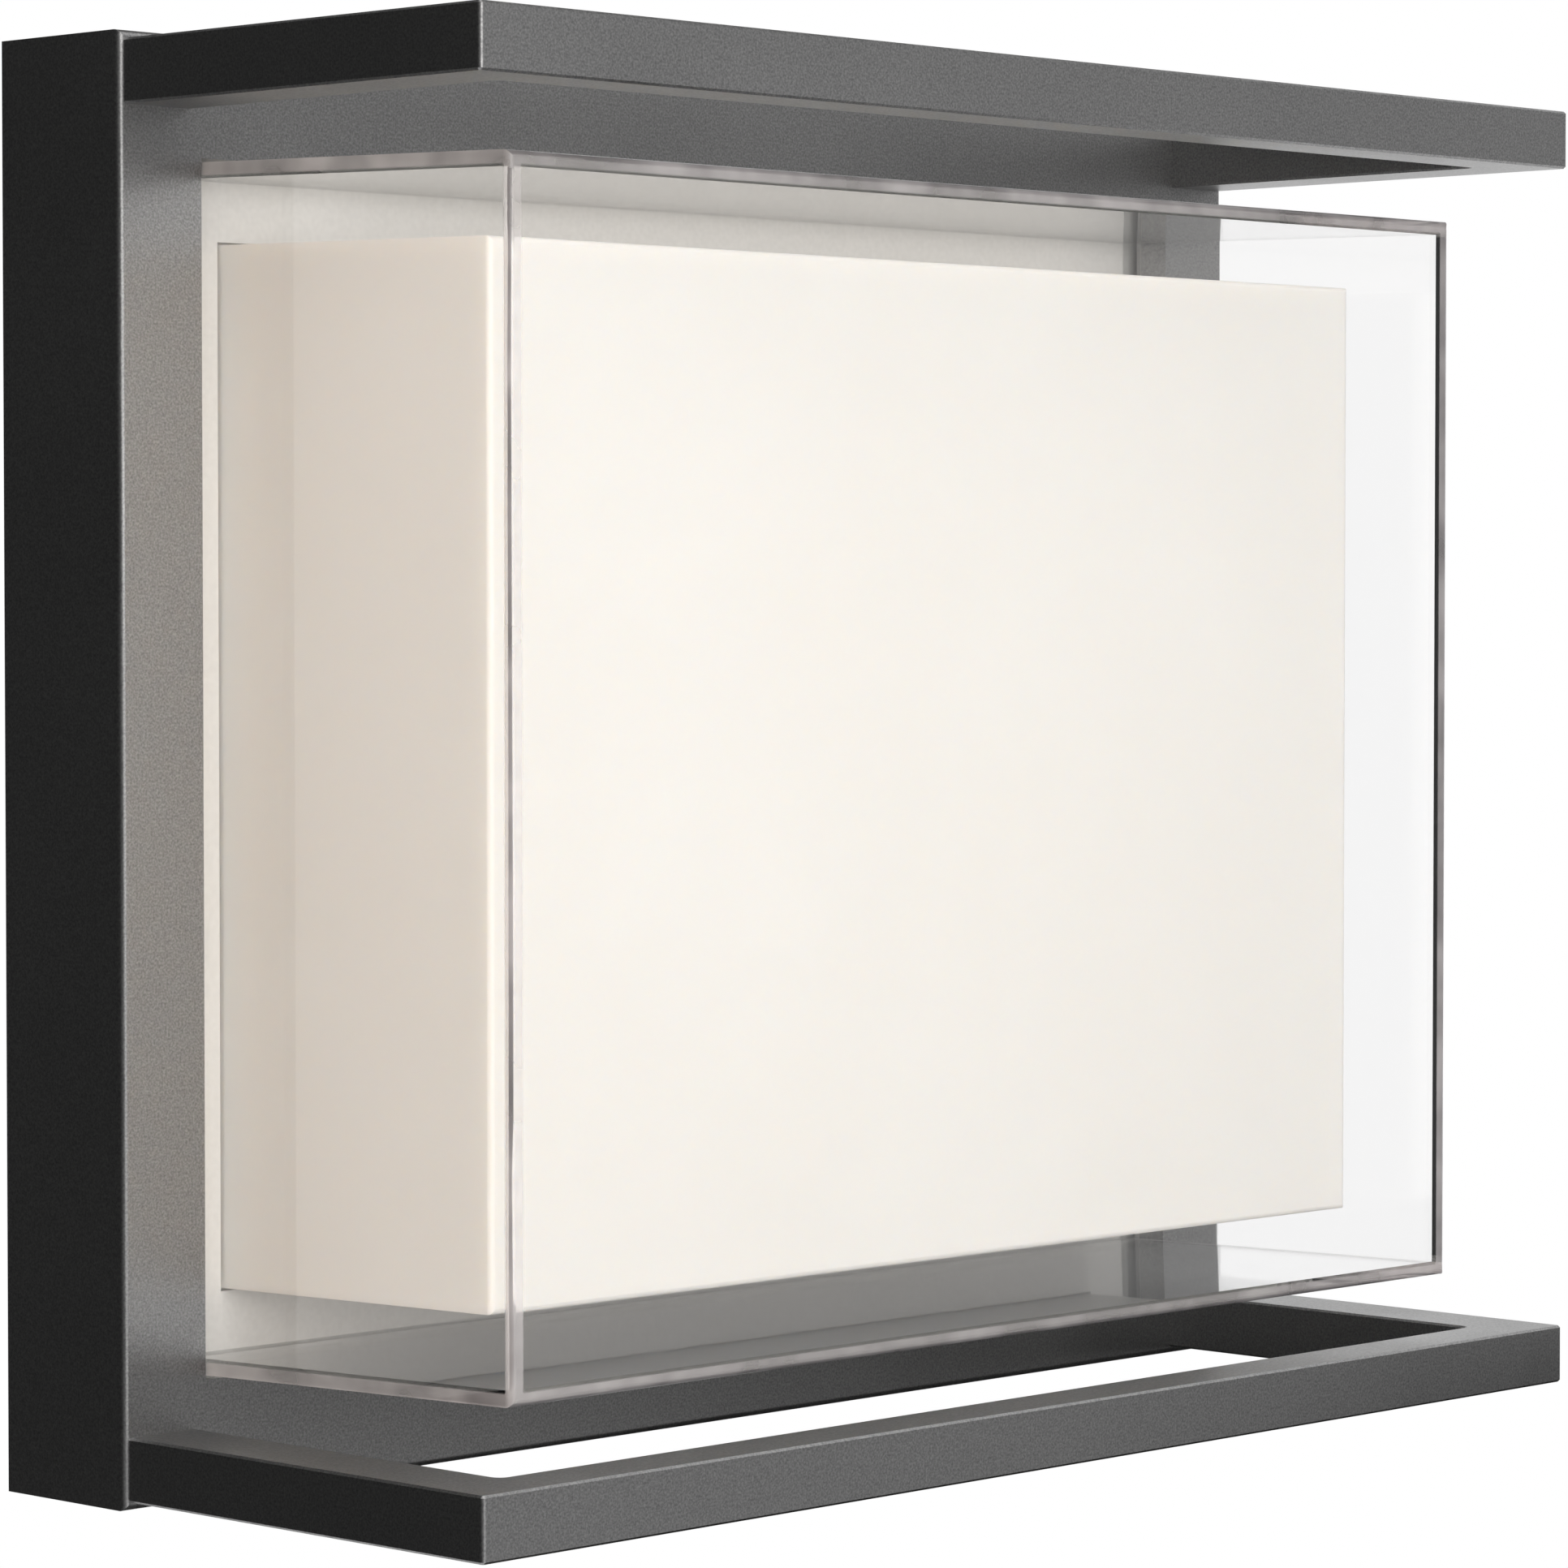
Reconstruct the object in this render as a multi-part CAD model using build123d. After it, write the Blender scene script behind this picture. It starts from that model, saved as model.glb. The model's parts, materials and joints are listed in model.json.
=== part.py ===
from build123d import *
import math
import os

# A box-shaped outdoor wall lantern, in millimetres.
# The wall is the plane y = 0, the front is towards -Y and +Z is up.
# Depths below are distances out from the wall, so a depth d is the plane y = -d.

# Overall sizes
housing_width = 249.0
housing_height = 215.0
housing_depth = 27.0
projection = 102.5

# Back housing casting
housing_wall = 2.5
housing_face = 2.5
housing_edge_radius = 1.0
housing_rib = 2.0
window_rim = 3.0

# Frames of rectangular bar
frame_inset = 1.0
frame_drop = 1.2
bar_height = 9.5
arm_width = 12.5
front_bar_depth = 10.0
bar_edge_radius = 0.7
bar_edge_break = 0.35
frame_inner_radius = 1.5

# Clear cover
cover_side_border = 17.5
cover_end_border = 19.75
cover_reach = 90.5
cover_wall = 2.2
cover_draft = 1.3
cover_edge_radius = 1.1
cover_gap = 0.5
cover_flange_lap = 4.5
gasket_thickness = 0.6
gasket_setback = 0.6

# Opal diffuser
opal_side_gap = 10.5
opal_end_gap = 10.9
opal_reach = 76.4
opal_wall = 2.0
opal_draft = 1.0
opal_edge_radius = 0.8
opal_fit = 0.4
opal_flange_lap = 4.0

# White reflector plate
reflector_sheet = 1.2
reflector_room = 0.5

# Plate that carries the electrics
carrier_sheet = 2.0
carrier_margin = 1.0
board_screw_margin = 1.0
carrier_corner_radius = 4.0

# LED board
board_side_margin = 21.5
board_end_margin = 21.85
board_thickness = 1.6
board_corner_radius = 3.0
led_columns = 8
led_rows = 5
led_width = 3.5
led_height = 2.8
led_thickness = 0.8
led_border = 16.0
connector_width = 9.0
connector_height = 8.0
connector_thickness = 4.5

# LED driver and terminal block
driver_width = 36.0
driver_height = 104.0
driver_thickness = 11.0
driver_edge_radius = 1.5
driver_ear = 9.0
driver_ear_thickness = 2.0
driver_side_room = 38.0
terminal_width = 34.0
terminal_height = 22.0
terminal_thickness = 10.5
terminal_poles = 3
terminal_base = 3.0
terminal_foot = 8.0
terminal_side_room = 31.0

# Leads
mains_lead_diameter = 2.4
board_lead_diameter = 1.6
mains_bend_radius = 14.0
board_bend_radius = 3.5
lead_sides = 6
lead_clearance = 0.1
lead_seat = 5.0
lead_pitch = 2.4
lead_standoff = 2.5
mains_rise = 18.0
mains_straight_share = 0.35
board_lead_drop = 40.0

# Wall bracket
bracket_sheet = 2.0
bracket_width = 60.0
bracket_tab_clearance = 1.3
bracket_bend_radius = 1.5
bracket_hang_gap = 0.3
bracket_dish_width = 36.0
bracket_dish_depth = 2.4
slot_spacing = 88.9
slot_length = 22.0
slot_width = 5.0
wire_hole = 20.0
grommet_lip = 2.5
grommet_lip_thickness = 1.6
grommet_bore = 13.0
ground_screw_drop = 25.0

# Foam seal inside the housing's rear edge
seal_width = 4.0
seal_depth = 6.0
seal_tab_gap = 3.0

# Screws: shank diameter, head diameter, head height. Hidden screws and their holes have flat sides.
frame_screw = (4.0, 7.0, 2.8)
small_screw = (3.0, 5.6, 2.2)
ground_screw_size = (4.0, 8.0, 3.0)
screw_sides = 10
frame_screw_reach = 10.0
boss_screw_reach = 4.2
hole_end_room = 0.5
thread_clearance = 0.05
head_room = 0.5
boss_wall = 2.0
collar_wall = 1.2

# Lock screws in the housing's underside
lock_screw_diameter = 5.0
lock_screw_hex = 2.5
lock_screw_hex_depth = 3.0
lock_screw_spacing = 36.0
lock_screw_depth = 8.0
lock_screw_recess = 0.5
lock_screw_clearance = 0.05
lock_tip_gap = 0.15
lock_boss_height = 4.5
lock_boss_diameter = 10.0
lock_boss_gap = 0.5

# Widths and heights that follow from the housing's
cover_width = housing_width - 2 * cover_side_border
cover_height = housing_height - 2 * cover_end_border
opal_width = cover_width - 2 * opal_side_gap
opal_height = cover_height - 2 * opal_end_gap
board_width = opal_width - 2 * board_side_margin
board_height = opal_height - 2 * board_end_margin

# Depths of the stack behind the housing's front
face_back = housing_depth - housing_face
rim_back = face_back - window_rim
flange_front = rim_back - gasket_thickness
flange_back = flange_front - cover_wall
reflector_back = flange_back - reflector_sheet
carrier_front = reflector_back - opal_wall
carrier_back = carrier_front - carrier_sheet
board_front = carrier_front + board_thickness

# Half sizes that several pieces share
inner_half_width = housing_width / 2 - housing_wall
inner_half_height = housing_height / 2 - housing_wall
frame_half_width = housing_width / 2 - frame_inset
frame_top = housing_height / 2 - frame_drop
frame_middle = frame_top - bar_height / 2

# Places that follow from the housing's
driver_offset = inner_half_width - driver_side_room - driver_width / 2
terminal_offset = inner_half_width - terminal_side_room - terminal_foot - terminal_width / 2
bracket_tab_depth = reflector_back - small_screw[2] - bracket_tab_clearance


def drafted(front_size, reach, draft, depth):
    """Width and height of a drafted box at a depth, from its size at its front."""
    growth = 2 * (reach - depth) * math.tan(math.radians(draft))
    return front_size[0] + growth, front_size[1] + growth


def grown(size, amount):
    """A width and height grown by an amount on every side."""
    return size[0] + 2 * amount, size[1] + 2 * amount


cover_front = (cover_width, cover_height)
opal_front = (opal_width, opal_height)
window = grown(drafted(cover_front, cover_reach, cover_draft, face_back), cover_gap)
cover_flange = grown(window, cover_flange_lap)
opal_opening = grown(drafted(opal_front, opal_reach, opal_draft, reflector_back), opal_fit)
opal_flange = grown(opal_opening, opal_flange_lap)


def out_from(depth):
    """Plane parallel to the wall at a depth, facing away from it: x is X and y is Z."""
    return Plane.XZ.offset(depth)


def raised(sketch, depth, thickness):
    """A sketch seen from the front, extruded out from a depth."""
    return extrude(out_from(depth) * sketch, thickness)


def ring(outer, inner):
    """Rectangle with a rectangular window."""
    return Rectangle(*outer) - Rectangle(*inner)


def tapered_block(front_size, reach, draft, depth):
    """Drafted block from a depth out to its front."""
    back = drafted(front_size, reach, draft, depth)
    return extrude(out_from(depth) * Rectangle(*back), reach - depth, taper=draft)


def drafted_box(front_size, reach, draft, wall, edge_radius, depth, flange):
    """Five-sided moulded box, open towards the wall, with a flat flange round its open end."""
    outer = tapered_block(front_size, reach, draft, depth)
    outer = fillet(outer.faces().sort_by(Axis.Y)[0].edges(), edge_radius)
    inner = tapered_block(grown(front_size, -wall), reach - wall, draft, depth)
    return outer + raised(Rectangle(*flange), depth, wall) - inner


def small_round(radius):
    """Round outline of a small hidden piece or hole, with flat sides."""
    return RegularPolygon(radius, screw_sides)


def screw(size, length, x, z, depth, out=True):
    """Pan-head screw whose head bears on the plane at a depth.

    out sends the shank away from the wall, and otherwise towards it.
    """
    shank, head, height = size
    cap = extrude(small_round(head / 2), -height)
    cap = chamfer(cap.faces().sort_by(Axis.Z)[0].edges(), height / 3)
    body = cap + extrude(small_round(shank / 2), length)
    if out:
        return out_from(depth) * Location((x, z)) * body
    towards_wall = Plane(origin=(0, -depth, 0), x_dir=(-1, 0, 0), z_dir=(0, 1, 0))
    return towards_wall * Location((-x, z)) * body


def pilot(diameter, x, z, depth, length):
    """Screw hole cutter, from a depth outwards."""
    return raised(Pos(x, z) * small_round(diameter / 2), depth, length)


def post(radius, x, z, depth, length):
    """Screw boss, from a depth outwards."""
    return raised(Pos(x, z) * small_round(radius), depth, length)


def mirrored_pairs(x, z):
    """The four places at plus and minus x and z."""
    return [(sx * x, sz * z) for sx in (-1, 1) for sz in (-1, 1)]


# Places of the fasteners
frame_screw_x = frame_half_width - arm_width / 2
frame_screw_z = inner_half_height - frame_screw[1] / 2 - head_room
boss_x = (inner_half_width + cover_flange[0] / 2) / 2
boss_z = (inner_half_height + cover_flange[1] / 2) / 2
boss_places = mirrored_pairs(boss_x, cover_flange[1] / 4) + [(0, -boss_z), (0, boss_z)]
boss_radius = small_screw[0] / 2 + boss_wall
collar_radius = small_screw[0] / 2 + collar_wall
collar_x = opal_flange[0] / 2 + collar_radius + head_room
collar_places = mirrored_pairs(collar_x, opal_flange[1] / 4)
tapped_hole = small_screw[0] + 2 * thread_clearance
lock_tab_under = inner_half_height - lock_boss_height - lock_boss_gap
lock_places = (-lock_screw_spacing / 2, lock_screw_spacing / 2)


def back_housing():
    """Cast tray open at the back: rimmed window, screw bosses, lock bosses and stiffening ribs."""
    body = raised(Rectangle(housing_width, housing_height), 0, housing_depth)
    body = fillet(body.faces().sort_by(Axis.Y)[0].edges(), housing_edge_radius)
    hollow = Rectangle(2 * inner_half_width, 2 * inner_half_height)
    body -= raised(hollow, 0, face_back)
    body += raised(Rectangle(*cover_flange), rim_back, window_rim)
    body -= raised(Rectangle(*window), rim_back, window_rim + housing_face)
    boss_height = face_back - flange_back
    for x, z in boss_places:
        body += post(boss_radius, x, z, flange_back, boss_height)
    rib_length = inner_half_height - cover_flange[1] / 2 - head_room
    for x in (-frame_screw_x / 2, frame_screw_x / 2):
        for side in (-1, 1):
            middle = side * (inner_half_height - rib_length / 2)
            body += raised(Pos(x, middle) * Rectangle(housing_rib, rib_length), flange_back, boss_height)
    upwards = (Align.CENTER, Align.CENTER, Align.MIN)
    for x in lock_places:
        place = Pos(x, -lock_screw_depth, -inner_half_height)
        body += place * Cylinder(lock_boss_diameter / 2, lock_boss_height, align=upwards)
        thread = lock_screw_diameter / 2 + lock_screw_clearance
        body -= place * Cylinder(thread, 4 * lock_boss_height)
    hole = boss_screw_reach + hole_end_room
    for x, z in boss_places:
        body -= pilot(tapped_hole, x, z, flange_back, hole)
    for x, z in mirrored_pairs(frame_screw_x, frame_screw_z):
        body -= pilot(frame_screw[0] + 2 * thread_clearance, x, z, face_back, housing_face)
    return body


def frame(side):
    """U of rectangular bar: two arms from the housing and a front bar, in one piece."""
    reach = projection - housing_depth
    outer = Rectangle(2 * frame_half_width, reach, align=(Align.CENTER, Align.MAX))
    inner_width = 2 * (frame_half_width - arm_width)
    inner = Rectangle(inner_width, reach - front_bar_depth, align=(Align.CENTER, Align.MAX))
    sketch = Pos(0, -housing_depth) * (outer - inner)
    free = sketch.vertices().filter_by(lambda v: v.Y < -housing_depth - front_bar_depth)
    inner_corners = free.filter_by(lambda v: abs(v.X) < frame_half_width - arm_width / 2)
    sketch = fillet(inner_corners, frame_inner_radius)
    outer_corners = sketch.vertices().group_by(Axis.Y)[0]
    sketch = fillet(outer_corners, bar_edge_radius)
    low = side * frame_middle - bar_height / 2
    body = extrude(Plane.XY.offset(low) * sketch, bar_height)
    flats = body.faces().filter_by(Axis.Z)
    rims = flats.edges().filter_by(lambda e: e.center().Y < -housing_depth - bar_edge_break)
    body = chamfer(rims, bar_edge_break)
    for x in (-frame_screw_x, frame_screw_x):
        size = frame_screw[0] + 2 * thread_clearance
        body -= pilot(size, x, side * frame_screw_z, housing_depth, frame_screw_reach + hole_end_room)
    return body


def frame_screws():
    """Four screws from inside the housing into the arms."""
    length = housing_face + frame_screw_reach
    places = mirrored_pairs(frame_screw_x, frame_screw_z)
    return Compound([screw(frame_screw, length, x, z, face_back).solid() for x, z in places])


def clear_cover():
    """Clear moulded box whose flange is clamped behind the housing's window."""
    shape = (cover_front, cover_reach, cover_draft, cover_wall, cover_edge_radius)
    return drafted_box(*shape, flange_back, cover_flange)


def cover_gasket():
    """Flat gasket between the window's rim and the clear cover's flange."""
    inner = grown(window, gasket_setback)
    return raised(ring(cover_flange, inner), flange_front, gasket_thickness)


def reflector_plate():
    """White sheet round the opal box, notched at its corners, with threaded collars on its back."""
    outer = grown((2 * inner_half_width, 2 * inner_half_height), -reflector_room)
    sheet = Rectangle(*outer)
    notch = outer[0] / 2 - (frame_screw_x - frame_screw[1] / 2 - head_room)
    notch_height = outer[1] / 2 - (frame_screw_z - frame_screw[1] / 2 - head_room)
    for x, z in mirrored_pairs(outer[0] / 2 - notch / 2, outer[1] / 2 - notch_height / 2):
        sheet -= Pos(x, z) * Rectangle(notch, notch_height)
    plate = raised(sheet - Rectangle(*opal_opening), reflector_back, reflector_sheet)
    for x, z in boss_places:
        plate -= pilot(small_screw[0] + 2 * head_room, x, z, reflector_back, reflector_sheet)
    for x, z in collar_places:
        plate += post(collar_radius, x, z, carrier_front, opal_wall)
        plate -= pilot(tapped_hole, x, z, carrier_front, opal_wall)
    return plate


def reflector_screws():
    """Screws through the reflector into the housing's bosses, clamping the clear cover's flange."""
    length = reflector_sheet + boss_screw_reach
    return Compound([screw(small_screw, length, x, z, reflector_back).solid() for x, z in boss_places])


def opal_diffuser():
    """Opal moulded box through the reflector's opening, with its flange behind the sheet."""
    shape = (opal_front, opal_reach, opal_draft, opal_wall, opal_edge_radius)
    return drafted_box(*shape, carrier_front, opal_flange)


# Places of what the carrier holds
board_screw_x = board_width / 2 - small_screw[1] / 2 - board_screw_margin
board_screw_z = board_height / 2 - small_screw[1] / 2 - board_screw_margin
driver_screw_z = driver_height / 2 + driver_ear / 2
driver_places = [(driver_offset, -driver_screw_z), (driver_offset, driver_screw_z)]
terminal_screw_x = terminal_width / 2 + terminal_foot / 2
terminal_places = [(-terminal_offset - terminal_screw_x, 0), (-terminal_offset + terminal_screw_x, 0)]
lead_hole = 4 * board_lead_diameter
lead_hole_z = -(board_height / 2 + opal_opening[1] / 2) / 2


def led_carrier():
    """Aluminium plate that clamps the opal flange and spreads the board's heat."""
    width = 2 * (collar_x + collar_radius + carrier_margin)
    height = opal_flange[1] + 2 * carrier_margin
    plate = raised(RectangleRounded(width, height, carrier_corner_radius), carrier_back, carrier_sheet)
    for x, z in collar_places:
        plate -= pilot(small_screw[0] + 2 * head_room, x, z, carrier_back, carrier_sheet)
    tapped = mirrored_pairs(board_screw_x, board_screw_z) + driver_places + terminal_places
    for x, z in tapped:
        plate -= pilot(tapped_hole, x, z, carrier_back, carrier_sheet)
    return plate - pilot(lead_hole + 2 * carrier_margin, 0, lead_hole_z, carrier_back, carrier_sheet)


def carrier_screws():
    """Screws through the carrier into the reflector's collars."""
    length = carrier_sheet + opal_wall
    return Compound([screw(small_screw, length, x, z, carrier_back).solid() for x, z in collar_places])


def led_board():
    """Metal-core board on the front of the carrier."""
    outline = RectangleRounded(board_width, board_height, board_corner_radius)
    board = raised(outline, carrier_front, board_thickness)
    for x, z in mirrored_pairs(board_screw_x, board_screw_z):
        board -= pilot(tapped_hole, x, z, carrier_front, board_thickness)
    return board


def leds():
    """Grid of surface-mount packages, each a body with a bevelled front."""
    column_step = (board_width - 2 * led_border) / (led_columns - 1)
    row_step = (board_height - 2 * led_border) / (led_rows - 1)
    package = extrude(Rectangle(led_width, led_height), led_thickness)
    package = chamfer(package.faces().sort_by(Axis.Z)[-1].edges(), led_thickness / 4)
    grid = GridLocations(column_step, row_step, led_columns, led_rows)
    return Compound([(out_from(board_front) * place * package).solid() for place in grid])


connector_z = -board_height / 2 + connector_height / 2
lead_front_depth = board_front + connector_thickness / 2
lead_back_depth = carrier_back - lead_standoff - mains_lead_diameter / 2
driver_side = driver_offset - driver_width / 2
terminal_pitch = terminal_height / terminal_poles
terminal_middle = carrier_back - terminal_thickness / 2


def board_connector():
    """Two-pole push-in connector at the board's lower edge."""
    shape = Pos(0, connector_z) * Rectangle(connector_width, connector_height)
    body = raised(shape, board_front, connector_thickness)
    body = chamfer(body.faces().sort_by(Axis.Y)[0].edges(), connector_thickness / 6)
    for side in (-1, 1):
        socket = extrude(small_round(board_lead_diameter / 2 + lead_clearance), lead_seat)
        body -= Pos(side * lead_pitch / 2, -lead_front_depth, -board_height / 2) * socket
    return body


def board_screws():
    """Screws that hold the board to the carrier, heads to the front."""
    length = board_thickness + carrier_sheet
    places = mirrored_pairs(board_screw_x, board_screw_z)
    return Compound([screw(small_screw, length, x, z, board_front, out=False).solid() for x, z in places])


def led_driver():
    """Slim driver case with a fixing ear at each end and lead sockets in its side."""
    back = carrier_back - driver_thickness
    outline = Pos(driver_offset, 0) * Rectangle(driver_width, driver_height)
    case = raised(outline, back, driver_thickness)
    case = fillet(case.faces().sort_by(Axis.Y)[-1].edges(), driver_edge_radius)
    ears = Pos(driver_offset, 0) * Rectangle(driver_width / 2, driver_height + 2 * driver_ear)
    ear_back = carrier_back - driver_ear_thickness
    case += raised(ears, ear_back, driver_ear_thickness)
    for x, z in driver_places:
        case -= pilot(tapped_hole, x, z, ear_back, driver_ear_thickness)
    for side in (-1, 1):
        for z, diameter in (
            (mains_rise + side * terminal_pitch, mains_lead_diameter),
            (-board_lead_drop + side * lead_pitch / 2, board_lead_diameter),
        ):
            socket = extrude(Plane.YZ * small_round(diameter / 2 + lead_clearance), lead_seat)
            case -= Pos(driver_side, -lead_back_depth, z) * socket
    return case


def driver_screws():
    """Screws through the driver's ears into the carrier."""
    seat = carrier_back - driver_ear_thickness
    length = driver_ear_thickness + carrier_sheet
    return Compound([screw(small_screw, length, x, z, seat).solid() for x, z in driver_places])


def terminal_block():
    """Block of poles, each with a wire hole across it and a screw hole from the wall side."""
    back = carrier_back - terminal_thickness
    place = Pos(-terminal_offset, 0)
    body = raised(place * Rectangle(terminal_width, terminal_height), back, terminal_thickness)
    feet = place * Rectangle(terminal_width + 2 * terminal_foot, terminal_height / 2)
    body += raised(feet, carrier_back - terminal_base, terminal_base)
    for pole in range(terminal_poles):
        z = (pole - (terminal_poles - 1) / 2) * terminal_pitch
        wire_hole_cut = extrude(Plane.YZ * small_round(terminal_pitch / 4), terminal_width, both=True)
        body -= Pos(-terminal_offset, -lead_back_depth, z) * wire_hole_cut
        for side in (-1, 1):
            x = -terminal_offset + side * terminal_width / 4
            body -= pilot(terminal_pitch / 2, x, z, back, terminal_thickness / 3)
    for gap in range(terminal_poles - 1):
        z = (gap - (terminal_poles - 2) / 2) * terminal_pitch
        groove = Pos(-terminal_offset, z) * Rectangle(terminal_width, terminal_pitch / 8)
        body -= raised(groove, back, terminal_thickness / 4)
    for x, z in terminal_places:
        body -= pilot(tapped_hole, x, z, carrier_back - terminal_base, terminal_base)
    return body


def terminal_screws():
    """Screws through the terminal block's feet into the carrier."""
    seat = carrier_back - terminal_base
    length = terminal_base + carrier_sheet
    return Compound([screw(small_screw, length, x, z, seat).solid() for x, z in terminal_places])


def bushing(outline, hole, bore, lip, lip_thickness, sheet, z, depth):
    """Rubber grommet in a sheet that starts at a depth, with a lip on both faces.

    outline makes the round sketch of a radius.
    """
    body = raised(outline(hole / 2 - thread_clearance), depth, sheet)
    for start in (depth - lip_thickness, depth + sheet):
        body += raised(outline(hole / 2 + lip), start, lip_thickness)
    body -= raised(outline(bore / 2), depth - lip_thickness, sheet + 2 * lip_thickness)
    return Pos(0, 0, z) * body


def lead_grommet():
    """Grommet round the board's leads where they pass through the carrier."""
    shape = (lead_hole + 2 * carrier_margin, lead_hole, carrier_margin, carrier_margin)
    return bushing(small_round, *shape, carrier_sheet, lead_hole_z, carrier_back)


def lead(points, radius, diameter):
    """Lead of a many-sided section along straight runs joined by arcs."""
    path = FilletPolyline(*points, radius=radius)
    start = Plane(origin=path @ 0, z_dir=path % 0)
    return sweep(start * RegularPolygon(diameter / 2, lead_sides), path=path)


def mains_leads():
    """Two leads from the terminal block's right side to the driver's left side."""
    start = -terminal_offset + terminal_width / 2
    straight = (driver_side - start) * mains_straight_share
    wires = []
    for side in (-1, 1):
        z = side * terminal_pitch
        points = [
            (start - lead_seat, -lead_back_depth, z),
            (start + straight, -lead_back_depth, z),
            (driver_side - straight, -lead_back_depth, z + mains_rise),
            (driver_side + lead_seat, -lead_back_depth, z + mains_rise),
        ]
        wires.append(lead(points, mains_bend_radius, mains_lead_diameter).solid())
    return Compound(wires)


def board_leads():
    """Two leads from the driver, through the carrier, up to the board's connector."""
    wires = []
    for side in (-1, 1):
        x = side * lead_pitch / 2
        drop = -board_lead_drop - side * lead_pitch / 2
        points = [
            (driver_side + lead_seat, -lead_back_depth, drop),
            (x, -lead_back_depth, drop),
            (x, -lead_back_depth, lead_hole_z),
            (x, -lead_front_depth, lead_hole_z),
            (x, -lead_front_depth, -board_height / 2 + lead_seat),
        ]
        wires.append(lead(points, board_bend_radius, board_lead_diameter).solid())
    return Compound(wires)


def wall_bracket():
    """Bent steel strap with a tab at each end, slotted holes and a dished wire hole."""
    top = inner_half_height - bracket_hang_gap
    bottom = -lock_tab_under
    sheet, deep = bracket_sheet, bracket_tab_depth
    outline = Polyline(
        (0, bottom), (0, top), (-deep, top), (-deep, top - sheet), (-sheet, top - sheet),
        (-sheet, bottom + sheet), (-deep, bottom + sheet), (-deep, bottom), close=True,
    )
    section = make_face(outline)
    outer = section.vertices().filter_by(lambda v: abs(v.X) < sheet / 2)
    section = fillet(outer, bracket_bend_radius + sheet)
    inner = section.vertices().filter_by(lambda v: abs(v.X + sheet) < sheet / 4)
    section = fillet(inner, bracket_bend_radius)
    strap = extrude(Plane.YZ * section, bracket_width / 2, both=True)
    strap = fillet(strap.edges().filter_by(Axis.Z).group_by(Axis.Y)[0], deep / 4)
    dish = raised(Circle(bracket_dish_width / 2), sheet, bracket_dish_depth)
    strap += chamfer(dish.edges().sort_by(Axis.Y)[0], bracket_dish_depth / 3)
    strap -= raised(Circle(bracket_dish_width / 2 - sheet), 0, bracket_dish_depth)
    strap -= raised(Circle(wire_hole / 2), 0, sheet + bracket_dish_depth)
    for side in (-1, 1):
        slot = Pos(0, side * slot_spacing / 2) * SlotOverall(slot_length, slot_width, rotation=90)
        strap -= raised(slot, 0, sheet)
    return strap - pilot(ground_screw_size[0] + 2 * thread_clearance, 0, -ground_screw_drop, 0, sheet)


def wire_grommet():
    """Grommet in the bracket's dished wire hole, clear of the wall."""
    shape = (wire_hole, grommet_bore, grommet_lip, grommet_lip_thickness)
    return bushing(Circle, *shape, bracket_sheet, 0, bracket_dish_depth)


def ground_screw():
    """Earth screw in the bracket."""
    return screw(ground_screw_size, bracket_sheet, 0, -ground_screw_drop, bracket_sheet, out=False)


def lock_screw(x):
    """Set screw up through the housing's underside, just short of the bracket's lower tab."""
    low = -housing_height / 2 + lock_screw_recess
    high = -lock_tab_under - lock_tip_gap
    body = Cylinder(lock_screw_diameter / 2, high - low, align=(Align.CENTER, Align.CENTER, Align.MIN))
    body = chamfer(body.edges().sort_by(Axis.Z)[-1], lock_screw_diameter / 8)
    socket = extrude(RegularPolygon(lock_screw_hex / 2, 6, major_radius=False), lock_screw_hex_depth)
    return Pos(x, -lock_screw_depth, low) * (body - socket)


def wall_seal():
    """Foam strips inside the rear edge, at both sides and the top, parted for the bracket's tab."""
    strips = []
    for side in (-1, 1):
        side_middle = (side * (inner_half_width - seal_width / 2), 0)
        upright = Pos(*side_middle) * Rectangle(seal_width, 2 * inner_half_height)
        inner_end = bracket_width / 2 + seal_tab_gap
        along = inner_half_width - inner_end
        top_middle = (side * (inner_end + along / 2), inner_half_height - seal_width / 2)
        sketch = upright + Pos(*top_middle) * Rectangle(along, seal_width)
        strips.append(raised(sketch, 0, seal_depth).solid())
    return Compound(strips)


nodes = {
    "wall_bracket": wall_bracket(),
    "wire_grommet": wire_grommet(),
    "ground_screw": ground_screw(),
    "back_housing": back_housing(),
    "lock_screw_left": lock_screw(lock_places[0]),
    "lock_screw_right": lock_screw(lock_places[1]),
    "wall_seal": wall_seal(),
    "top_frame": frame(1),
    "bottom_frame": frame(-1),
    "frame_screws": frame_screws(),
    "cover_gasket": cover_gasket(),
    "clear_cover": clear_cover(),
    "reflector_plate": reflector_plate(),
    "reflector_screws": reflector_screws(),
    "opal_diffuser": opal_diffuser(),
    "led_carrier": led_carrier(),
    "carrier_screws": carrier_screws(),
    "led_board": led_board(),
    "leds": leds(),
    "board_connector": board_connector(),
    "board_screws": board_screws(),
    "led_driver": led_driver(),
    "driver_screws": driver_screws(),
    "terminal_block": terminal_block(),
    "terminal_screws": terminal_screws(),
    "lead_grommet": lead_grommet(),
    "mains_leads": mains_leads(),
    "board_leads": board_leads(),
}

os.makedirs("parts", exist_ok=True)
for name, shape in nodes.items():
    export_step(shape, f"parts/{name}.step")
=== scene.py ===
import json
import math

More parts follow.
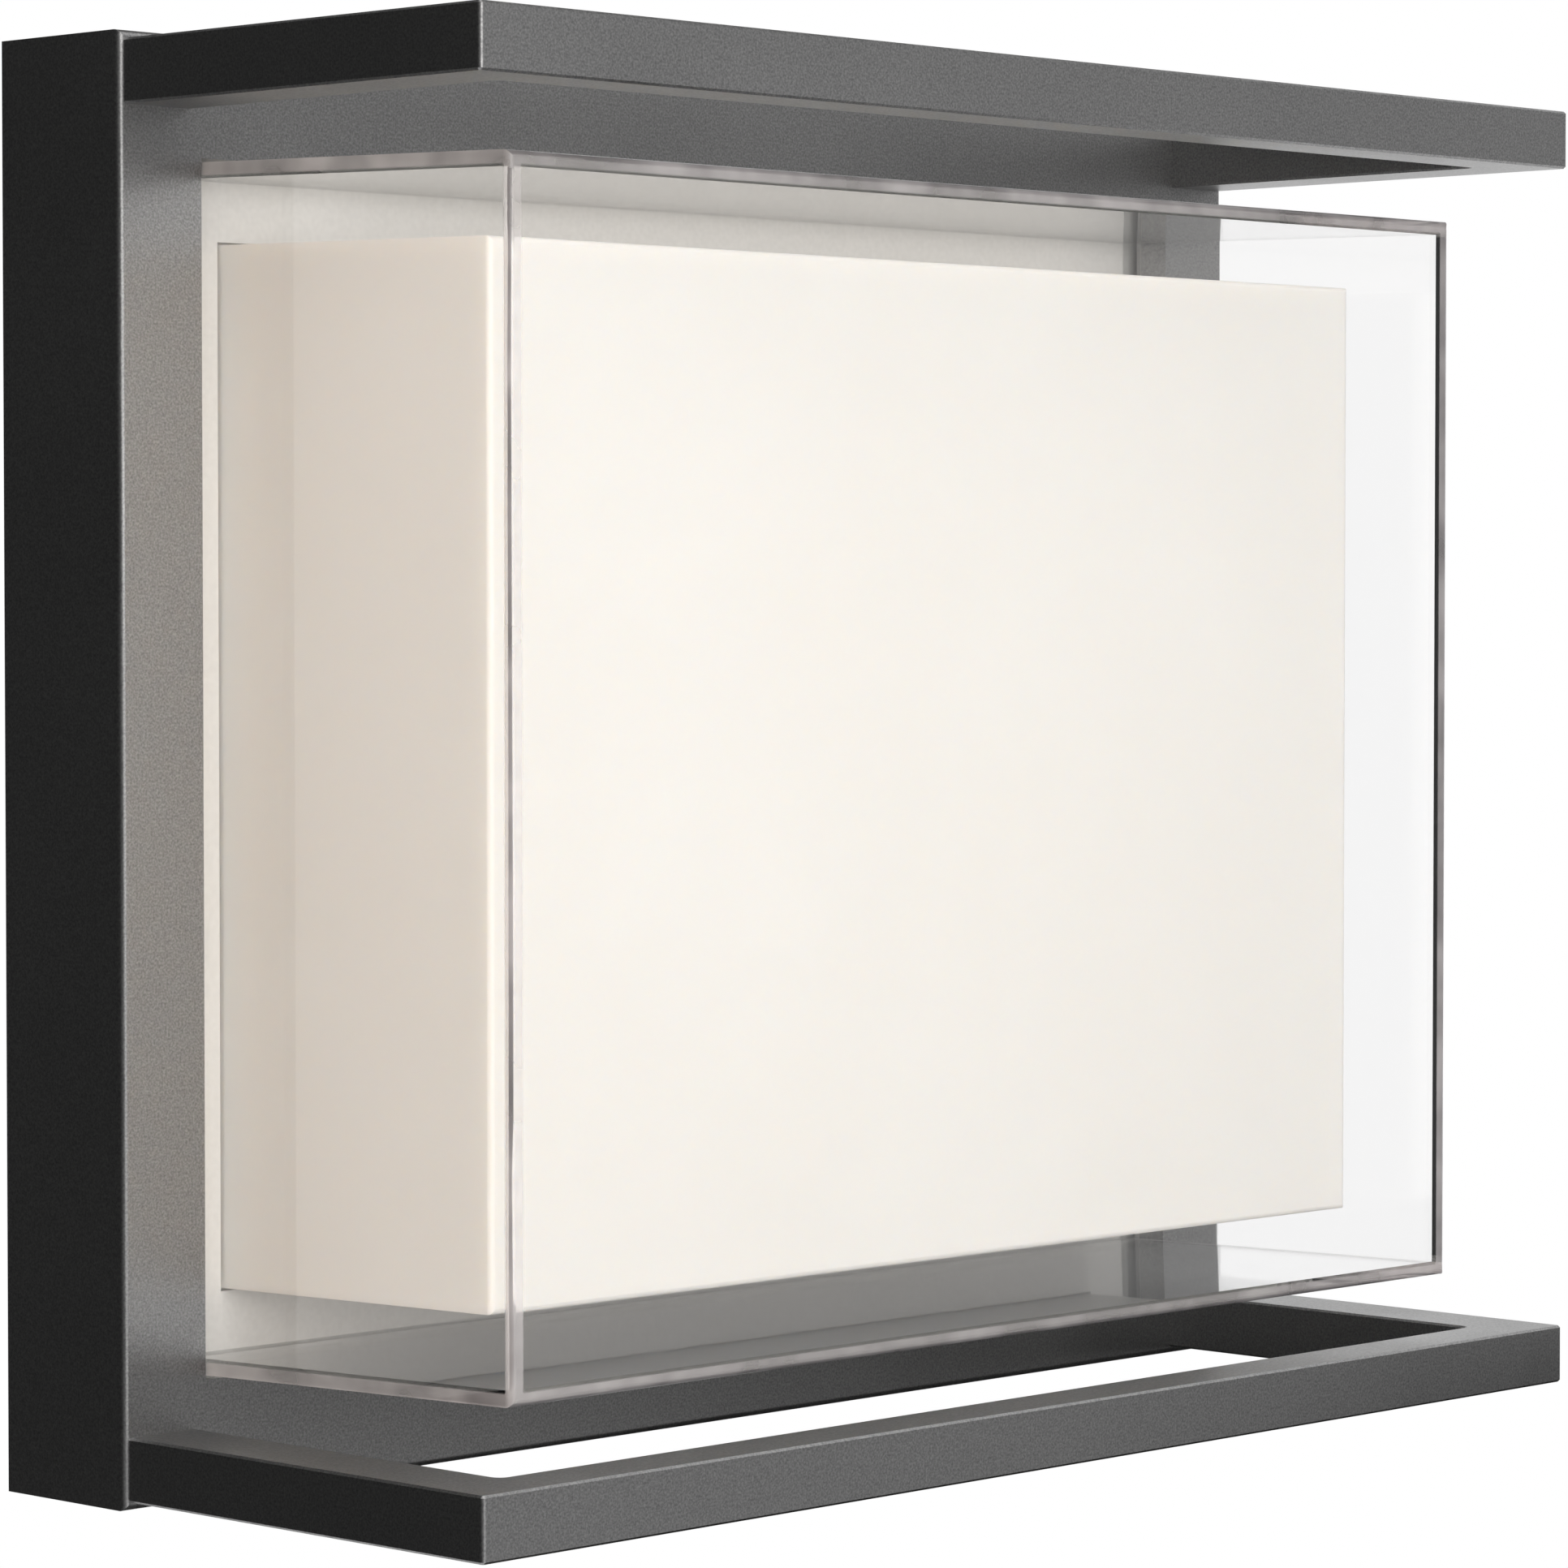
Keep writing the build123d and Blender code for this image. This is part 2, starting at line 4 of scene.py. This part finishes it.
import bpy
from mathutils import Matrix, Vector


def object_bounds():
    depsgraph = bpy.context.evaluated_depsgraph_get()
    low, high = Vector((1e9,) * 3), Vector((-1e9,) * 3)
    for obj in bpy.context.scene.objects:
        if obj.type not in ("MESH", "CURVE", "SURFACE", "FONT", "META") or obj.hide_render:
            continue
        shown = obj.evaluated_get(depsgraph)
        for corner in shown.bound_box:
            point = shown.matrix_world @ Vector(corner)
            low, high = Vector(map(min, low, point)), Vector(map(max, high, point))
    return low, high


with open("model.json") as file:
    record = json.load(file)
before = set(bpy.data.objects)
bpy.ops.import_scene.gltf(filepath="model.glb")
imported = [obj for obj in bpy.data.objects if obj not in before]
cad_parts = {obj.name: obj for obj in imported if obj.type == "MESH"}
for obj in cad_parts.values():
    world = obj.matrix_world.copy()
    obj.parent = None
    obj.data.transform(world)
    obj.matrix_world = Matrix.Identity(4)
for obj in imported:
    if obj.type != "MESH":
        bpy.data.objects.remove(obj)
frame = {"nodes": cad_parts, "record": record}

# An outdoor wall lantern: finishes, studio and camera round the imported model.
# Metres, +Y into the wall, +Z up, the front towards -Y.

cad_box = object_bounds()
nodes = frame["nodes"]

# Camera, as fitted to the photograph's corners
image_pixels = 1932
focal_pixels = 6880
sensor_width = 36.0
camera_yaw = math.radians(45.96)
camera_pitch = math.radians(1.98)
camera_distance = 0.8729
camera_target = Vector((-0.0118, -0.0516, -0.0037))
near_clip = 0.01

# The clear cover's outside, as in the model, and how wide the painted light along its edges is
cover_half_width = 0.107
cover_half_height = 0.08775
cover_reach = 0.0905
cover_draft = math.radians(1.3)
edge_light_front = 0.0012
edge_light_sides = 0.0026
edge_light_top = 0.0021
edge_light_fade = 0.0003

# Finishes
acrylic_ior = 1.49
plain_white = (1.0, 1.0, 1.0, 1.0)
even_grain = (1.0, 1.0, 1.0)
upright_grain = (1.0, 1.0, 12.0)
wiping_grain = (1.0, 1.0, 6.0)

# Studio
floor_drop = 1.4
floor_size = 12.0
floor_grey = (0.86, 0.86, 0.86, 1.0)
floor_lift = 0.36
shadow_fade = (0.5, 1.5)
white_level = 1.0
room_level = 0.36
warm_white = (1.0, 0.66, 0.38)
neutral_white = (1.0, 0.98, 0.95)


def material(name):
    """A new node material: the material, its node tree and its Principled node."""
    made = bpy.data.materials.new(name)
    made.use_nodes = True
    return made, made.node_tree, made.node_tree.nodes["Principled BSDF"]


def add(tree, kind, **values):
    """A node of a kind, with its properties and plain input values set."""
    node = tree.nodes.new(kind)
    for key, value in values.items():
        if key in node.inputs.keys():
            node.inputs[key].default_value = value
        else:
            setattr(node, key, value)
    return node


def show(tree, shader, output="Material Output"):
    """Makes a shader the tree's surface."""
    tree.links.new(shader, tree.nodes[output].inputs["Surface"])


def object_place(tree):
    """Place on the object, in metres."""
    return add(tree, "ShaderNodeTexCoord").outputs["Object"]


def noise(tree, size, detail=2.0, stretch=even_grain):
    """Noise whose grains are about this many metres across, stretched along the axes."""
    scale = add(tree, "ShaderNodeMapping")
    scale.inputs["Scale"].default_value = [1.0 / (size * s) for s in stretch]
    grain = add(tree, "ShaderNodeTexNoise", Scale=1.0, Detail=detail)
    tree.links.new(object_place(tree), scale.inputs["Vector"])
    tree.links.new(scale.outputs["Vector"], grain.inputs["Vector"])
    return grain.outputs["Fac"]


def spread(tree, value, low, high, start=0.3, end=0.7):
    """A value stretched from start and end to low and high, and held there beyond them."""
    node = add(tree, "ShaderNodeMapRange")
    node.inputs["From Min"].default_value = start
    node.inputs["From Max"].default_value = end
    node.inputs["To Min"].default_value = low
    node.inputs["To Max"].default_value = high
    tree.links.new(value, node.inputs["Value"])
    return node.outputs["Result"]


def blended(tree, value, first, second, start=0.35, end=0.65):
    """A colour between two, by a noise value."""
    ramp = add(tree, "ShaderNodeValToRGB")
    ramp.color_ramp.elements[0].position = start
    ramp.color_ramp.elements[0].color = (*first, 1.0)
    ramp.color_ramp.elements[1].position = end
    ramp.color_ramp.elements[1].color = (*second, 1.0)
    tree.links.new(value, ramp.inputs["Fac"])
    return ramp.outputs["Color"]


def math_node(tree, operation, first, second):
    """An operation on two values, each an output or a plain number."""
    node = add(tree, "ShaderNodeMath", operation=operation)
    for socket, value in zip(node.inputs, (first, second)):
        if isinstance(value, float):
            socket.default_value = value
        else:
            tree.links.new(value, socket)
    return node.outputs["Value"]


def mixed(tree, share, first, second):
    """Two shaders mixed by a share of the second."""
    node = add(tree, "ShaderNodeMixShader")
    tree.links.new(share, node.inputs["Fac"])
    tree.links.new(first, node.inputs[1])
    tree.links.new(second, node.inputs[2])
    return node.outputs["Shader"]


def glow(tree, level):
    """White light of its own, at a level."""
    node = add(tree, "ShaderNodeEmission", Color=plain_white, Strength=level)
    return node.outputs["Emission"]


def bumped(tree, shader, value, height):
    """Bump of this height in metres from a noise value."""
    bump = add(tree, "ShaderNodeBump", Strength=1.0, Distance=height)
    tree.links.new(value, bump.inputs["Height"])
    tree.links.new(bump.outputs["Normal"], shader.inputs["Normal"])


def finish(name, dark, light, grain, rough, metallic=0.0, bump=0.0, stretch=even_grain):
    """A plain procedural finish: two close colours, a roughness range and a fine bump."""
    made, tree, shader = material(name)
    shader.inputs["Metallic"].default_value = metallic
    value = noise(tree, grain, stretch=stretch)
    tree.links.new(blended(tree, value, dark, light), shader.inputs["Base Color"])
    tree.links.new(spread(tree, value, *rough), shader.inputs["Roughness"])
    if bump:
        bumped(tree, shader, value, bump)
    return made


def graphite_coat():
    """Dark metallic powder coat: fine flake sparkle, soft cloudiness and a faint orange peel."""
    made, tree, shader = material("graphite_coat")
    shader.inputs["Metallic"].default_value = 1.0
    flake = noise(tree, size=0.00035, detail=3.0)
    cloud = noise(tree, size=0.03)
    peel = noise(tree, size=0.0009)
    colour = blended(tree, flake, (0.22, 0.22, 0.222), (0.405, 0.403, 0.402), start=0.3, end=0.72)
    tree.links.new(colour, shader.inputs["Base Color"])
    tree.links.new(spread(tree, cloud, low=0.33, high=0.39), shader.inputs["Roughness"])
    bumped(tree, shader, peel, height=0.00002)
    return made


def cover_edges(tree):
    """One along the clear cover's outer edges, about as wide as its wall, and nought elsewhere: the
    mask of the painted edge light.
    """
    axes = add(tree, "ShaderNodeSeparateXYZ")
    tree.links.new(object_place(tree), axes.inputs["Vector"])
    behind = math_node(tree, "ADD", axes.outputs["Y"], cover_reach)
    flare = math_node(tree, "MULTIPLY", behind, math.tan(cover_draft))
    near_front = spread(tree, behind, 1.0, 0.0, edge_light_front - edge_light_fade, edge_light_front)
    near = [near_front]
    for axis, half, width in (
        ("X", cover_half_width, edge_light_sides),
        ("Z", cover_half_height, edge_light_top),
    ):
        out = math_node(tree, "ABSOLUTE", axes.outputs[axis], 0.0)
        depth = math_node(tree, "SUBTRACT", math_node(tree, "ADD", flare, half), out)
        near.append(spread(tree, depth, 1.0, 0.0, width - edge_light_fade, width))
    total = math_node(tree, "ADD", math_node(tree, "ADD", near[0], near[1]), near[2])
    # An edge is where at least two of the three sides are near
    return spread(tree, total, 0.0, 1.0, start=1.0, end=2.0)


def clear_acrylic():
    """Clear moulded acrylic with faint wiping marks, and a milky grey band of painted light along
    its edges, standing in for the light the edges catch. Lamps go through.
    """
    made, tree, glass = material("clear_acrylic")
    glass.inputs["Base Color"].default_value = (1.0, 0.999, 1.0, 1.0)
    glass.inputs["Transmission Weight"].default_value = 0.998
    glass.inputs["IOR"].default_value = acrylic_ior
    marks = noise(tree, size=0.004, detail=4.0, stretch=wiping_grain)
    tree.links.new(spread(tree, marks, low=0.0, high=0.03), glass.inputs["Roughness"])
    # Painted edge light: a milky lilac-grey skin standing in for light caught in the cover's edges
    painted_edge_light = add(tree, "ShaderNodeBsdfPrincipled", Roughness=0.3, IOR=acrylic_ior)
    streak = noise(tree, size=0.012)
    colour = blended(tree, streak, (0.78, 0.75, 0.78), (0.9, 0.87, 0.9))
    tree.links.new(colour, painted_edge_light.inputs["Base Color"])
    # How much of the painted edge light shows, patchy along the edges
    painted_light_share = spread(tree, streak, low=0.25, high=0.5)
    painted_light_share = math_node(tree, "MULTIPLY", cover_edges(tree), painted_light_share)
    body = mixed(tree, painted_light_share, glass.outputs["BSDF"], painted_edge_light.outputs["BSDF"])
    clear = add(tree, "ShaderNodeBsdfTransparent")
    path = add(tree, "ShaderNodeLightPath")
    show(tree, mixed(tree, path.outputs["Is Shadow Ray"], body, clear.outputs["BSDF"]))
    return made


def opal_acrylic():
    """Warm white opal acrylic: satin skin over a milky body."""
    made, tree, shader = material("opal_acrylic")
    cloud = noise(tree, size=0.05)
    satin = noise(tree, size=0.002)
    skin = noise(tree, size=0.0006)
    colour = blended(tree, cloud, (0.915, 0.88, 0.825), (0.93, 0.898, 0.845))
    tree.links.new(colour, shader.inputs["Base Color"])
    shader.inputs["Subsurface Weight"].default_value = 0.5
    shader.inputs["Subsurface Radius"].default_value = (1.0, 0.8, 0.6)
    shader.inputs["Subsurface Scale"].default_value = 0.006
    tree.links.new(spread(tree, satin, low=0.3, high=0.36), shader.inputs["Roughness"])
    bumped(tree, shader, skin, height=0.000006)
    return made


plain_finishes = {
    "white_coat": dict(
        dark=(0.87, 0.87, 0.855), light=(0.91, 0.91, 0.895), grain=0.0009, rough=(0.42, 0.52),
        bump=0.00002,
    ),
    "zinc_steel": dict(
        dark=(0.57, 0.575, 0.58), light=(0.66, 0.66, 0.65), grain=0.0025, rough=(0.3, 0.42),
        metallic=0.95, bump=0.000006,
    ),
    "dark_steel": dict(
        dark=(0.05, 0.05, 0.055), light=(0.09, 0.09, 0.095), grain=0.0008, rough=(0.35, 0.5),
        metallic=0.9,
    ),
    "green_screw": dict(
        dark=(0.05, 0.27, 0.1), light=(0.08, 0.36, 0.15), grain=0.001, rough=(0.35, 0.5),
        metallic=0.4,
    ),
    "carrier_aluminium": dict(
        dark=(0.66, 0.67, 0.68), light=(0.8, 0.8, 0.8), grain=0.0012, rough=(0.3, 0.45),
        metallic=0.95, bump=0.000008, stretch=upright_grain,
    ),
    "board_white": dict(
        dark=(0.82, 0.82, 0.8), light=(0.87, 0.87, 0.85), grain=0.002, rough=(0.35, 0.45),
    ),
    "led_phosphor": dict(
        dark=(0.86, 0.68, 0.18), light=(0.92, 0.76, 0.26), grain=0.0006, rough=(0.4, 0.55),
    ),
    "white_plastic": dict(
        dark=(0.76, 0.75, 0.71), light=(0.81, 0.8, 0.76), grain=0.0012, rough=(0.4, 0.5),
        bump=0.00001,
    ),
    "driver_case": dict(
        dark=(0.73, 0.73, 0.71), light=(0.78, 0.78, 0.76), grain=0.0012, rough=(0.42, 0.55),
        bump=0.00002,
    ),
    "white_silicone": dict(
        dark=(0.78, 0.78, 0.76), light=(0.84, 0.84, 0.82), grain=0.0015, rough=(0.5, 0.6),
        bump=0.00002,
    ),
    "black_rubber": dict(
        dark=(0.018, 0.018, 0.018), light=(0.03, 0.03, 0.03), grain=0.0008, rough=(0.6, 0.8),
        bump=0.00002,
    ),
    "foam": dict(
        dark=(0.025, 0.025, 0.026), light=(0.06, 0.06, 0.062), grain=0.0009, rough=(0.85, 0.95),
        bump=0.00015,
    ),
    "mains_insulation": dict(
        dark=(0.09, 0.045, 0.02), light=(0.12, 0.06, 0.03), grain=0.002, rough=(0.4, 0.5),
    ),
    "board_insulation": dict(
        dark=(0.45, 0.03, 0.025), light=(0.52, 0.045, 0.035), grain=0.002, rough=(0.4, 0.5),
    ),
}
finishes = {
    "graphite_coat": graphite_coat(),
    "clear_acrylic": clear_acrylic(),
    "opal_acrylic": opal_acrylic(),
}
for name, values in plain_finishes.items():
    finishes[name] = finish(name, **values)

for row in frame["record"]["subparts"]:
    piece = nodes[row["node"]]
    piece.data.materials.clear()
    piece.data.materials.append(finishes[row["material_slot"]])


def stage_plane(name, size, place, turn, surface):
    """A square of the studio, not part of the lantern."""
    half = size / 2
    mesh = bpy.data.meshes.new(name)
    corners = [(-half, -half, 0), (half, -half, 0), (half, half, 0), (-half, half, 0)]
    mesh.from_pydata(corners, [], [(0, 1, 2, 3)])
    made = bpy.data.objects.new(name, mesh)
    made.location = place
    made.rotation_euler = turn
    mesh.materials.append(surface)
    bpy.context.collection.objects.link(made)
    return made


def seen_as_white(tree):
    """One for what the camera sees, also by mirrors and glass, and nought for light on surfaces."""
    path = add(tree, "ShaderNodeLightPath").outputs
    seen = math_node(tree, "MAXIMUM", path["Is Camera Ray"], path["Is Glossy Ray"])
    seen = math_node(tree, "MAXIMUM", seen, path["Is Transmission Ray"])
    # No matt surface on the way
    direct = math_node(tree, "LESS_THAN", path["Diffuse Depth"], 0.5)
    return math_node(tree, "MULTIPLY", seen, direct)


def floor_material():
    """Pale floor: it reads as the white background, and near the lantern keeps its shadow."""
    made, tree, shader = material("pale_floor")
    shader.inputs["Base Color"].default_value = floor_grey
    shader.inputs["Roughness"].default_value = 0.9
    white = mixed(tree, seen_as_white(tree), shader.outputs["BSDF"], glow(tree, white_level))
    shaded = add(tree, "ShaderNodeAddShader")
    tree.links.new(shader.outputs["BSDF"], shaded.inputs[0])
    tree.links.new(glow(tree, floor_lift), shaded.inputs[1])
    away = add(tree, "ShaderNodeVectorMath", operation="LENGTH")
    tree.links.new(object_place(tree), away.inputs[0])
    near = spread(tree, away.outputs["Value"], 1.0, 0.0, *shadow_fade)
    path = add(tree, "ShaderNodeLightPath")
    near = math_node(tree, "MULTIPLY", near, path.outputs["Is Camera Ray"])
    show(tree, mixed(tree, near, white, shaded.outputs["Shader"]))
    return made


def room():
    """White surround for the camera, and an even soft light for the surfaces."""
    world = bpy.data.worlds.new("room")
    world.use_nodes = True
    tree = world.node_tree
    soft = tree.nodes["Background"]
    soft.inputs["Color"].default_value = plain_white
    soft.inputs["Strength"].default_value = room_level
    white = add(tree, "ShaderNodeBackground", Color=plain_white, Strength=white_level)
    seen = seen_as_white(tree)
    surround = mixed(tree, seen, soft.outputs["Background"], white.outputs["Background"])
    show(tree, surround, "World Output")
    bpy.context.scene.world = world


def aimed(place, axis):
    """Turn that points an axis from a place at the lantern."""
    return (camera_target - Vector(place)).to_track_quat(axis, "Y").to_euler()


def soft_lamp(name, place, size, power, colour, shine=True):
    """Square soft lamp aimed at the lantern, seen in shiny surfaces or not."""
    data = bpy.data.lights.new(name, "AREA")
    data.size = size
    data.energy = power
    data.color = colour
    made = bpy.data.objects.new(name, data)
    made.location = place
    made.rotation_euler = aimed(place, "-Z")
    made.visible_glossy = shine
    bpy.context.collection.objects.link(made)


def studio_card(name, size, place, level):
    """Card that only mirror-like surfaces see, dark or bright, at an even level of light."""
    made, tree, _ = material(name)
    show(tree, glow(tree, level))
    card = stage_plane(name, size, place, aimed(place, "Z"), made)
    card.visible_camera = False
    card.visible_diffuse = False
    card.visible_transmission = False
    card.visible_shadow = False


room()
floor_place = (0.0, 0.0, cad_box[0][2] - floor_drop)
stage_plane("floor", floor_size, floor_place, (0.0, 0.0, 0.0), floor_material())

# The lamps on the camera's side would shine back from the frames' inner corners
soft_lamp("key", place=(-0.25, -1.5, 0.55), size=1.0, power=7.5, colour=neutral_white)
soft_lamp(
    "fill", place=(-1.4, -0.8, 0.4), size=1.0, power=4.4, colour=warm_white, shine=False
)
soft_lamp(
    "camera_lamp", place=(-0.85, -0.95, 0.1), size=0.6, power=4.0, colour=neutral_white,
    shine=False,
)
soft_lamp("top_lamp", place=(0.1, -0.4, 1.4), size=1.0, power=3.4, colour=neutral_white)

# What the coat mirrors: dark to the left, below and behind, grey to the right
studio_card("left_card", size=3.6, place=(-0.75, 0.56, 0.0), level=0.05)
studio_card("under_card", size=0.34, place=(0.1, -0.05, -0.2), level=0.03)
studio_card("right_card", size=1.8, place=(1.0, -1.0, -0.05), level=0.44)
studio_card("camera_card", size=2.0, place=(-1.4, -1.5, 0.0), level=0.16)
studio_card("upper_card", size=1.8, place=(0.5, 0.5, 1.2), level=0.15)


def photo_camera():
    """Camera at the photograph's place and angle of view."""
    data = bpy.data.cameras.new("photo_camera")
    data.sensor_width = sensor_width
    data.lens = sensor_width * focal_pixels / image_pixels
    data.clip_start = near_clip
    ahead = Vector((
        math.sin(camera_yaw) * math.cos(camera_pitch),
        math.cos(camera_yaw) * math.cos(camera_pitch),
        -math.sin(camera_pitch),
    ))
    made = bpy.data.objects.new("photo_camera", data)
    made.location = camera_target - ahead * camera_distance
    made.rotation_euler = ahead.to_track_quat("-Z", "Y").to_euler()
    bpy.context.collection.objects.link(made)
    bpy.context.scene.camera = made


photo_camera()
bpy.context.scene.view_settings.view_transform = "Standard"
